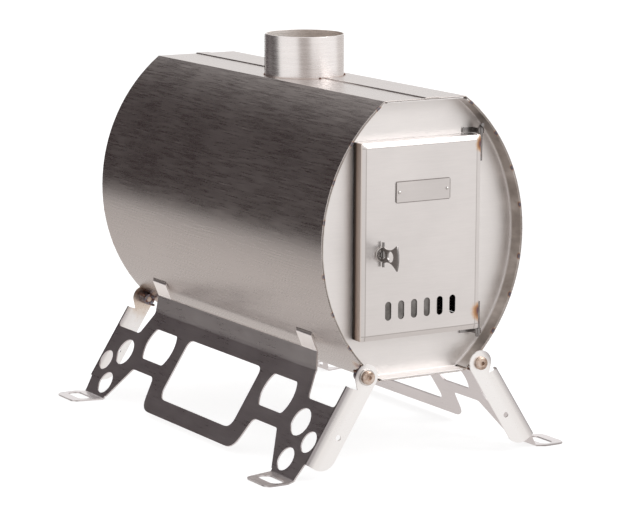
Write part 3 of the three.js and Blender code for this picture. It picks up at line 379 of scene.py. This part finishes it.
def plate_steel():
    """The bare riveted plate, darker in a thin band along its edge."""
    nodes, base = face_steel("plate_steel", PLATE_COLOR, "X", 0.42)
    low, high = (Vector(corner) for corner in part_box("door_plate"))
    edge = None
    for axis, ends in (("X", (low.x, high.x)), ("Z", (low.z, high.z))):
        place = nodes.axis(axis)
        centre = sum(ends) / 2
        half = (ends[1] - ends[0]) / 2
        out = nodes.math("ABSOLUTE", nodes.math("SUBTRACT", place, centre))
        line = nodes.between(out, half - 0.9 * MM, half - 0.4 * MM)
        edge = line if edge is None else nodes.math("MAXIMUM", edge, line)
    base = nodes.mix(nodes.math("MULTIPLY", edge, 0.75), base, PLATE_EDGE_BAND_COLOR)
    return finish_material(nodes, base)


def leg_steel():
    """Satin plates; the upper flange and the ears are paler with painted light, and the ears darken
    to painted shade at their bend.
    """
    nodes = Nodes("leg_steel")
    base = brushed(nodes, LEG_COLOR, "Y", strength=0.05, smudge=0.06, roughness=0.30)
    centre = middle("hinge_nut_front_left")
    away = nodes.math("SUBTRACT", nodes.math("ABSOLUTE", nodes.axis("X")), abs(centre.x))
    drop = nodes.math("SUBTRACT", nodes.axis("Z"), centre.z)
    sideways = nodes.math("MULTIPLY", away, math.cos(EAR_SLOPE))
    down = nodes.math("MULTIPLY", drop, math.sin(EAR_SLOPE))
    out = nodes.math("ADD", sideways, down)
    # painted light on the ears, turning to painted shade at their bend
    pale = nodes.ramp(nodes.between(out, -2 * MM, 12.5 * MM), EAR_LIGHT_AND_BEND_SHADE)
    y = nodes.math("ABSOLUTE", nodes.math("SUBTRACT", nodes.axis("Y"), BODY_MIDDLE))
    ear = nodes.between(y, 221.5 * MM, 225.5 * MM)
    base = nodes.mix(ear, base, pale)
    # painted light: the upper flange made near white
    high = nodes.between(nodes.axis("Z"), centre.z - 4 * MM, centre.z + 1 * MM)
    flange = nodes.math("MULTIPLY", high, nodes.math("SUBTRACT", 1.0, ear))
    base = nodes.mix(flange, base, FLANGE_PAINTED_LIGHT)
    for node in WELD_NUTS:
        reach = REAR_EAR_TINT if "rear" in node else FRONT_EAR_TINT
        base = heat_tint(nodes, base, middle(node), reach, 0.6, EAR_TEMPER)
    return finish_material(nodes, base)


def collar_steel():
    """Rolled tube, brushed round its girth, with a paler inside of painted light that browns to the
    right.
    """
    nodes = Nodes("collar_steel")
    base = brushed(nodes, COLLAR_COLOR, "girth", strength=0.10, smudge=0.02, roughness=0.27)
    inside = nodes.between(ring_distance(nodes), *COLLAR_BORE, 1.0, 0.0)
    # painted light: the inside made paler, and less metallic below
    base = nodes.mix(nodes.math("MULTIPLY", inside, 0.9), base, COLLAR_INSIDE_LIGHT)
    metal = nodes.math("SUBTRACT", 1.0, nodes.math("MULTIPLY", inside, 0.55))
    nodes.link(metal, nodes.shader.inputs["Metallic"])
    left, right = COLLAR.x - 12 * MM, COLLAR.x + 30 * MM
    browned = nodes.between(nodes.axis("X"), left, right, 0.0, 0.75, smooth=True)
    base = nodes.mix(nodes.math("MULTIPLY", inside, browned), base, COLLAR_BROWNED)
    bottom, top = BARREL_TOP + 0.4 * MM, BARREL_TOP + 1.8 * MM
    foot = nodes.between(nodes.axis("Z"), bottom, top, 0.20, 0.0)
    base = nodes.mix(foot, base, BRONZE)
    return finish_material(nodes, base)


def seam_steel():
    nodes = Nodes("seam_steel")
    base = brushed(nodes, SEAM_COLOR, "Z", strength=0.06, smudge=0.12, roughness=0.45)
    return finish_material(nodes, base)


def fastener_steel():
    nodes = Nodes("fastener_steel")
    base = brushed(nodes, FASTENER_COLOR, "Z", strength=0.06, smudge=0.12, roughness=0.24)
    return finish_material(nodes, base)


def bolt_steel():
    """Bolt heads browned by the firebox's heat."""
    nodes = Nodes("bolt_steel")
    cloud = nodes.noise(nodes.place, 150.0, 3.0)
    base = nodes.ramp(cloud, BOLT_BROWN)
    nodes.shader.inputs["Metallic"].default_value = 1.0
    nodes.link(nodes.between(cloud, *NOISE_MIDDLE, 0.22, 0.36), nodes.shader.inputs["Roughness"])
    nodes.bump(cloud, 0.05 * MM, 0.3)
    return finish_material(nodes, base)


def latch_steel():
    nodes = Nodes("latch_steel")
    base = brushed(nodes, LATCH_COLOR, "Y", strength=0.10, smudge=0.18, roughness=0.24)
    return finish_material(nodes, base)


def scaled_steel():
    nodes = Nodes("scaled_steel")
    cloud = nodes.noise(nodes.place, 260.0, 3.0)
    base = nodes.ramp(cloud, NUT_SCALE)
    nodes.shader.inputs["Metallic"].default_value = 1.0
    nodes.link(nodes.between(cloud, *NOISE_MIDDLE, 0.25, 0.5), nodes.shader.inputs["Roughness"])
    nodes.bump(cloud, 0.2 * MM, 0.6)
    return finish_material(nodes, base)


def weld_bead():
    nodes = Nodes("weld_bead")
    cloud = nodes.noise(nodes.place, 420.0, 3.0)
    base = nodes.ramp(cloud, BEAD_COLORS)
    nodes.shader.inputs["Metallic"].default_value = 0.9
    nodes.link(nodes.between(cloud, *NOISE_MIDDLE, 0.35, 0.6), nodes.shader.inputs["Roughness"])
    nodes.bump(cloud, 0.2 * MM, 0.5)
    return finish_material(nodes, base)


def sooty_steel():
    nodes = Nodes("sooty_steel")
    cloud = nodes.noise(nodes.place, 60.0, 4.0)
    base = nodes.ramp(cloud, SOOT_COLORS)
    nodes.shader.inputs["Metallic"].default_value = 0.8
    nodes.link(nodes.between(cloud, *NOISE_MIDDLE, 0.4, 0.65), nodes.shader.inputs["Roughness"])
    nodes.bump(cloud, 0.3 * MM, 0.4)
    return finish_material(nodes, base)


# ---------------------------------------------------------------- pieces

CORNERS = ("front_left", "front_right", "rear_left", "rear_right")
WELD_NUTS = tuple("hinge_nut_" + corner for corner in CORNERS)
SIDE_TACKS = (50.5, 35.8, 22.0, 8.8, -8.8, -22.0, -35.5)   # degrees above the barrel's middle
TACK_STEPS = (-0.5, -0.2, 0.2, 0.5)   # a tack's points, in degrees from its middle
TACK_RADIUS = 0.75 * MM
TACK_INSET = 0.9 * MM                 # behind the rim's edge
TACK_DEPTH = 1.3 * MM                 # below the shell's outside
NUT_BEAD = 1.1 * MM
PIN_BEAD = 0.9 * MM
PIN_BEAD_LENGTH = 8.0 * MM
PIN_BEAD_APART = 2.1 * MM             # each side of the rod's axis
PIN_RADIUS = 2.0 * MM
COLLAR_TACKS = (28, 75, 121, 149, 262, 331)        # degrees round the collar
COLLAR_TACK_STEPS = (-1.6, -0.8, 0.0, 0.8, 1.6)
COLLAR_TACK_RADIUS = 1.0 * MM
COLLAR_TACK_RING = 40.5 * MM
SEAM_TURN = math.radians(148)
SEAM_BEAD = 0.45 * MM
SEAM_SIDES = (("inside", 38.75 * MM), ("outside", 40.05 * MM))


def new_object(name, mesh, material, body):
    mesh.materials.append(material)
    for polygon in mesh.polygons:
        polygon.use_smooth = True
    obj = bpy.data.objects.new(name, mesh)
    bpy.context.scene.collection.objects.link(obj)
    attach(obj, body)
    return obj


def bead_mesh(name, path, radius, ripple, sides=10):
    """A weld bead: a tube along a path of points, its radius rippling as the weld pool does."""
    mesh = bpy.data.meshes.new(name)
    data = bmesh.new()
    rings = []
    for i, point in enumerate(path):
        ahead = path[min(i + 1, len(path) - 1)] - path[max(i - 1, 0)]
        along = ahead.normalized()
        across = along.orthogonal().normalized()
        other = along.cross(across)
        end = math.sin(math.pi * min(1.0, (i + 0.35) / 2.0, (len(path) - 0.65 - i) / 2.0) / 2)
        size = radius * max(0.25, end) * (1.0 + ripple * (i % 2))
        rings.append([
            data.verts.new(point + size * (across * math.cos(turn) + other * math.sin(turn)))
            for turn in (2 * math.pi * k / sides for k in range(sides))
        ])
    for first, second in zip(rings, rings[1:]):
        for k in range(sides):
            data.faces.new((first[k], first[(k + 1) % sides], second[(k + 1) % sides], second[k]))
    data.faces.new(tuple(reversed(rings[0])))
    data.faces.new(tuple(rings[-1]))
    bmesh.ops.recalc_face_normals(data, faces=data.faces)
    data.to_mesh(mesh)
    data.free()
    return mesh


def line_path(start, end, spacing=0.9 * MM):
    start, end = Vector(start), Vector(end)
    count = max(4, round((end - start).length / spacing))
    return [start.lerp(end, i / count) for i in range(count + 1)]


def rim_tacks(bead):
    """Short welds that join the shell's edge to the panels' flanges."""
    for end, rim, inward in (("front", FRONT_RIM, 1), ("rear", REAR_RIM, -1)):
        for side_name, side in (("left", -1), ("right", 1)):
            for i, angle in enumerate(SIDE_TACKS):
                y = rim + inward * TACK_INSET
                path = [side_point(angle + step, y, side, -TACK_DEPTH) for step in TACK_STEPS]
                name = f"rim_tack_{end}_{side_name}_{i + 1}"
                mesh = bead_mesh(name, path, TACK_RADIUS, 0.15)
                new_object(name, mesh, bead, "barrel")


def nut_welds(bead):
    """Two fillets along each hinge nut, where it meets the shell."""
    for corner, node in zip(CORNERS, WELD_NUTS):
        low, high = (Vector(corner_point) for corner_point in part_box(node))
        side = 1 if high.x > 0 else -1
        centre = middle(node)
        front = centre.y < BODY_MIDDLE
        near, far = (2.0 * MM, 0.5 * MM) if front else (0.5 * MM, 2.0 * MM)
        start, end = low.y + near, high.y - far
        outer = (centre.x + side * 5.8 * MM, centre.z + 4.5 * MM)
        inner = (centre.x - side * 5.6 * MM, BARREL_BOTTOM - 0.4 * MM)
        for name, (x, z) in (("outer", outer), ("inner", inner)):
            path = line_path((x, start, z), (x, end, z))
            label = f"nut_weld_{corner}_{name}"
            mesh = bead_mesh(label, path, NUT_BEAD, 0.25)
            new_object(label, mesh, bead, "barrel")


def pin_welds(bead):
    """Fillets between the door's right wall and its two hinge rods."""
    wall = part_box("door_pan")[1][0]
    for node in ("door_pin_upper", "door_pin_lower"):
        low, high = (Vector(corner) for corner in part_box(node))
        axis_y = high.y - PIN_RADIUS
        door_low, door_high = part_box("door_pan")[0][2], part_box("door_pan")[1][2]
        bottom = max(low.z, door_low) + 3 * MM
        top = min(high.z, door_high) - 3 * MM
        spans = ((bottom, bottom + PIN_BEAD_LENGTH), (top - PIN_BEAD_LENGTH, top))
        x = wall + 0.7 * MM
        for label, y in (("front", axis_y - PIN_BEAD_APART), ("rear", axis_y + PIN_BEAD_APART)):
            for part, (start, end) in enumerate(spans):
                path = line_path((x, y, start), (x, y, end))
                piece = f"{node}_weld_{label}_{part + 1}"
                mesh = bead_mesh(piece, path, PIN_BEAD, 0.25)
                new_object(piece, mesh, bead, "door")


def collar_welds(bead):
    """Tacks round the foot of the collar."""
    z = BARREL_TOP + 0.4 * MM
    for i, angle in enumerate(COLLAR_TACKS):
        path = []
        for step in COLLAR_TACK_STEPS:
            turn = math.radians(angle + step)
            x = COLLAR.x + COLLAR_TACK_RING * math.cos(turn)
            y = COLLAR.y + COLLAR_TACK_RING * math.sin(turn)
            path.append(Vector((x, y, z)))
        name = f"collar_tack_{i + 1}"
        mesh = bead_mesh(name, path, COLLAR_TACK_RADIUS, 0.2)
        new_object(name, mesh, bead, "barrel")


def collar_seam(material):
    """The butt weld down the collar's left rear side, a thin ridge inside and outside."""
    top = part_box("flue_collar")[1][2]
    for label, radius in SEAM_SIDES:
        x = COLLAR.x + radius * math.cos(SEAM_TURN)
        y = COLLAR.y + radius * math.sin(SEAM_TURN)
        path = line_path((x, y, BARREL_TOP + 1 * MM), (x, y, top - 0.4 * MM), 1.2 * MM)
        name = "collar_seam_" + label
        mesh = bead_mesh(name, path, SEAM_BEAD, 0.3, sides=8)
        new_object(name, mesh, material, "barrel")


# ---------------------------------------------------------------- frame nodes

NODE_FINISH = {
    "shell": ("body_shell",),
    "panel": ("front_panel", "rear_panel"),
    "plate": ("door_plate",),
    "door": ("door_pan",),
    "leg": ("leg_left", "leg_right"),
    "collar": ("flue_collar",),
    "fastener": ("plate_rivet_left", "plate_rivet_right", "latch_washer")
    + tuple("hinge_washer_" + corner for corner in CORNERS),
    "bolt": tuple("hinge_bolt_" + corner for corner in CORNERS),
    "latch": ("latch_wing", "latch_tongue", "latch_nut", "door_pin_upper", "door_pin_lower",
              "hinge_strap_upper", "hinge_strap_lower"),
    "scaled": WELD_NUTS,
    "sooty": ("fire_grate", "door_heat_shield", "air_slide", "slide_rail_upper", "slide_rail_lower"),
}
# Broken edges in millimetres.
BEVEL = {
    "body_shell": 0.25, "front_panel": 0.3, "rear_panel": 0.3, "flue_collar": 0.3, "door_pan": 0.5,
    "door_plate": 0.15, "leg_left": 0.35, "leg_right": 0.35, "latch_wing": 0.25, "latch_washer": 0.3,
}
DEFAULT_BEVEL = 0.2
BEVEL_SEGMENTS = 2
SMOOTH_ANGLE = math.radians(32)
SHALLOW_FOLDS = ("door_pan",)           # bent by less than that, and still creased
SHALLOW_ANGLE = math.radians(12)
JOIN_DISTANCE = 0.01 * MM


def smooth_by_angle(name, crease):
    """Node tools that join a mesh's loose faces, then smooth it, apart from its sharp edges."""
    group = bpy.data.node_groups.new(name, "GeometryNodeTree")
    group.interface.new_socket("Geometry", in_out="INPUT", socket_type="NodeSocketGeometry")
    group.interface.new_socket("Geometry", in_out="OUTPUT", socket_type="NodeSocketGeometry")
    source = group.nodes.new("NodeGroupInput")
    result = group.nodes.new("NodeGroupOutput")
    joined = group.nodes.new("GeometryNodeMergeByDistance")
    joined.inputs["Distance"].default_value = JOIN_DISTANCE
    plain = group.nodes.new("GeometryNodeRemoveAttribute")
    plain.inputs["Name"].default_value = "custom_normal"
    faces = group.nodes.new("GeometryNodeSetShadeSmooth")
    faces.domain = "FACE"
    edges = group.nodes.new("GeometryNodeSetShadeSmooth")
    edges.domain = "EDGE"
    edges.inputs["Shade Smooth"].default_value = False
    angle = group.nodes.new("GeometryNodeInputMeshEdgeAngle")
    sharp = group.nodes.new("FunctionNodeCompare")
    sharp.data_type = "FLOAT"
    sharp.operation = "GREATER_THAN"
    sharp.inputs["B"].default_value = crease
    group.links.new(source.outputs["Geometry"], joined.inputs["Geometry"])
    group.links.new(joined.outputs["Geometry"], plain.inputs["Geometry"])
    group.links.new(plain.outputs["Geometry"], faces.inputs["Geometry"])
    group.links.new(faces.outputs["Geometry"], edges.inputs["Geometry"])
    group.links.new(angle.outputs["Unsigned Angle"], sharp.inputs["A"])
    group.links.new(sharp.outputs["Result"], edges.inputs["Selection"])
    group.links.new(edges.outputs["Geometry"], result.inputs["Geometry"])
    return group


def dress(node, material, smoothing):
    """A CAD node's finish: its material, smooth shading and slightly broken edges."""
    obj = NODES[node]
    for slot in obj.material_slots:
        slot.material = material
    smooth = obj.modifiers.new("smooth", "NODES")
    smooth.node_group = smoothing
    bevel = obj.modifiers.new("edges", "BEVEL")
    bevel.width = BEVEL.get(node, DEFAULT_BEVEL) * MM
    bevel.segments = BEVEL_SEGMENTS
    bevel.limit_method = "ANGLE"
    bevel.angle_limit = SMOOTH_ANGLE
    weigh = obj.modifiers.new("weigh", "WEIGHTED_NORMAL")
    weigh.keep_sharp = True
    return obj


# ---------------------------------------------------------------- studio

FLOOR_LEVEL = -0.4 * MM
FLOOR_HALF = 30.0
FLOOR_COLORS = ((0.3, (0.28, 0.28, 0.28)), (0.7, (0.30, 0.30, 0.30)))
FLOOR_ROUGHNESS = 0.9
FLOOR_EMISSION = 0.80                 # light from the floor itself, to every kind of ray
MIRRORED_FLOOR = (0.80, 0.765, 0.745)
MIRRORED_ROOM = (1.06, 1.05, 1.045)
HORIZON = (-0.30, -0.10)              # rise of the direction where one turns into the other
ZONE_EDGE = 0.07                      # softness of a zone's lower and upper edges
# Headings in degrees from +X, softness, lowest and highest rise of the direction, and colour.
ROOM_ZONES = (
    (80.0, 140.0, 8.0, -0.18, 0.62, (0.050, 0.036, 0.038)),
    (127.0, 158.0, 4.0, -0.36, 0.00, (0.040, 0.030, 0.030)),
    (-137.0, -103.0, 5.0, -0.40, 0.25, (0.44, 0.40, 0.38)),
    (-12.0, 40.0, 9.0, -0.40, 0.06, (0.68, 0.645, 0.625)),
)
SOFTBOX_PLACE = (1.6, -2.2, 2.2)
SOFTBOX_TARGET = (0.0, 0.0, 0.2)
SOFTBOX_SIZE = (1.8, 1.8)
SOFTBOX_POWER = 40.0


class WorldNodes:
    """The studio's surroundings, as the metal sees them, worked out from a ray's direction."""

    def __init__(self, tree):
        self.tree = tree
        split = tree.nodes.new("ShaderNodeSeparateXYZ")
        place = tree.nodes.new("ShaderNodeTexCoord")
        tree.links.new(place.outputs["Generated"], split.inputs["Vector"])
        self.up = split.outputs["Z"]
        turn = self.math("ARCTAN2", split.outputs["Y"], split.outputs["X"])
        self.heading = self.math("MULTIPLY", turn, 180 / math.pi)

    def math(self, operation, first, second=0.0):
        node = self.tree.nodes.new("ShaderNodeMath")
        node.operation = operation
        for index, value in enumerate((first, second)):
            if isinstance(value, bpy.types.NodeSocket):
                self.tree.links.new(value, node.inputs[index])
            else:
                node.inputs[index].default_value = value
        return node.outputs["Value"]

    def ease(self, value, low, high):
        node = self.tree.nodes.new("ShaderNodeMapRange")
        node.interpolation_type = "SMOOTHSTEP"
        self.tree.links.new(value, node.inputs["Value"])
        node.inputs["From Min"].default_value = low
        node.inputs["From Max"].default_value = high
        return node.outputs["Result"]

    def window(self, value, low, high, soft):
        rise = self.ease(value, low - soft, low + soft)
        fall = self.ease(value, high - soft, high + soft)
        return self.math("SUBTRACT", rise, fall)

    def mix(self, factor, first, second):
        node = self.tree.nodes.new("ShaderNodeMix")
        node.data_type = "RGBA"
        self.tree.links.new(factor, node.inputs[0])
        for index, value in ((6, first), (7, second)):
            if isinstance(value, bpy.types.NodeSocket):
                self.tree.links.new(value, node.inputs[index])
            else:
                node.inputs[index].default_value = (*value, 1.0)
        return node.outputs[2]


def surroundings(tree):
    """A pale room with two black flags behind on the left, and grey in front and on the right."""
    nodes = WorldNodes(tree)
    color = nodes.mix(nodes.ease(nodes.up, *HORIZON), MIRRORED_FLOOR, MIRRORED_ROOM)
    for low, high, soft, bottom, top, tint in ROOM_ZONES:
        aside = nodes.window(nodes.heading, low, high, soft)
        level = nodes.window(nodes.up, bottom, top, ZONE_EDGE)
        color = nodes.mix(nodes.math("MULTIPLY", aside, level), color, tint)
    return color


def studio_world():
    """White to every ray but glossy ones, which see other surroundings than the camera does."""
    world = bpy.data.worlds.new("studio")
    bpy.context.scene.world = world
    world.use_nodes = True
    tree = world.node_tree
    tree.nodes.clear()
    output = tree.nodes.new("ShaderNodeOutputWorld")
    room = tree.nodes.new("ShaderNodeBackground")
    white = tree.nodes.new("ShaderNodeBackground")
    white.inputs["Color"].default_value = (1.0, 1.0, 1.0, 1.0)
    path = tree.nodes.new("ShaderNodeLightPath")
    choose = tree.nodes.new("ShaderNodeMixShader")
    tree.links.new(surroundings(tree), room.inputs["Color"])
    tree.links.new(path.outputs["Is Glossy Ray"], choose.inputs["Fac"])
    tree.links.new(white.outputs["Background"], choose.inputs[1])
    tree.links.new(room.outputs["Background"], choose.inputs[2])
    tree.links.new(choose.outputs["Shader"], output.inputs["Surface"])


def floor():
    """A plain floor. It glows, which pales the object's shadow, and glossy rays miss it."""
    mesh = bpy.data.meshes.new("floor")
    data = bmesh.new()
    corners = [
        data.verts.new((x * FLOOR_HALF, y * FLOOR_HALF, FLOOR_LEVEL))
        for x, y in ((-1, -1), (1, -1), (1, 1), (-1, 1))
    ]
    data.faces.new(corners)
    data.to_mesh(mesh)
    data.free()
    nodes = Nodes("floor")
    speck = nodes.noise(nodes.place, 40.0, 2.0)
    base = nodes.ramp(speck, FLOOR_COLORS)
    nodes.shader.inputs["Roughness"].default_value = FLOOR_ROUGHNESS
    nodes.shader.inputs["Emission Color"].default_value = (1.0, 1.0, 1.0, 1.0)
    nodes.shader.inputs["Emission Strength"].default_value = FLOOR_EMISSION
    mesh.materials.append(finish_material(nodes, base))
    obj = bpy.data.objects.new("floor", mesh)
    bpy.context.scene.collection.objects.link(obj)
    obj.visible_glossy = False


def area_light(name, place, target, size, power):
    light = bpy.data.lights.new(name, "AREA")
    light.shape = "RECTANGLE"
    light.size, light.size_y = size
    light.energy = power
    obj = bpy.data.objects.new(name, light)
    obj.location = place
    obj.rotation_euler = (Vector(target) - Vector(place)).to_track_quat("-Z", "Y").to_euler()
    bpy.context.scene.collection.objects.link(obj)


CAMERA_FROM = Vector((-1.46997, -2.45412, 0.46731))    # from the barrel's middle, in metres
CAMERA_TO = Vector((0.02073, 0.0, -0.05289))
CAMERA_LENS = 159.5
CAMERA_ROLL = 0.31                                     # degrees


def photo_camera():
    """The photograph's viewpoint, solved from the barrel's outline."""
    camera = bpy.data.cameras.new("camera")
    camera.lens = CAMERA_LENS
    camera.sensor_width = 36.0
    camera.clip_end = 20.0
    obj = bpy.data.objects.new("camera", camera)
    centre = Vector((0.0, BODY_MIDDLE, AXIS_Z))
    place = centre + CAMERA_FROM
    target = centre + CAMERA_TO
    roll = Matrix.Rotation(math.radians(CAMERA_ROLL), 3, "Z")
    facing = (target - place).to_track_quat("-Z", "Y").to_matrix() @ roll
    obj.location = place
    obj.rotation_euler = facing.to_euler()
    bpy.context.scene.collection.objects.link(obj)
    bpy.context.scene.camera = obj


# ---------------------------------------------------------------- build

def build():
    bead = weld_bead()
    finishes = {
        "shell": shell_steel(),
        "panel": panel_steel(),
        "plate": plate_steel(),
        "door": door_steel(),
        "leg": leg_steel(),
        "collar": collar_steel(),
        "fastener": fastener_steel(),
        "bolt": bolt_steel(),
        "latch": latch_steel(),
        "scaled": scaled_steel(),
        "sooty": sooty_steel(),
    }
    smoothing = smooth_by_angle("smooth_by_angle", SMOOTH_ANGLE)
    creasing = smooth_by_angle("smooth_shallow_folds", SHALLOW_ANGLE)
    for finish, nodes in NODE_FINISH.items():
        for node in nodes:
            dress(node, finishes[finish], creasing if node in SHALLOW_FOLDS else smoothing)
    rim_tacks(bead)
    nut_welds(bead)
    pin_welds(bead)
    collar_welds(bead)
    collar_seam(seam_steel())
    studio_world()
    floor()
    area_light("softbox", SOFTBOX_PLACE, SOFTBOX_TARGET, SOFTBOX_SIZE, SOFTBOX_POWER)
    photo_camera()
    bpy.context.scene.view_settings.view_transform = "Standard"


build()
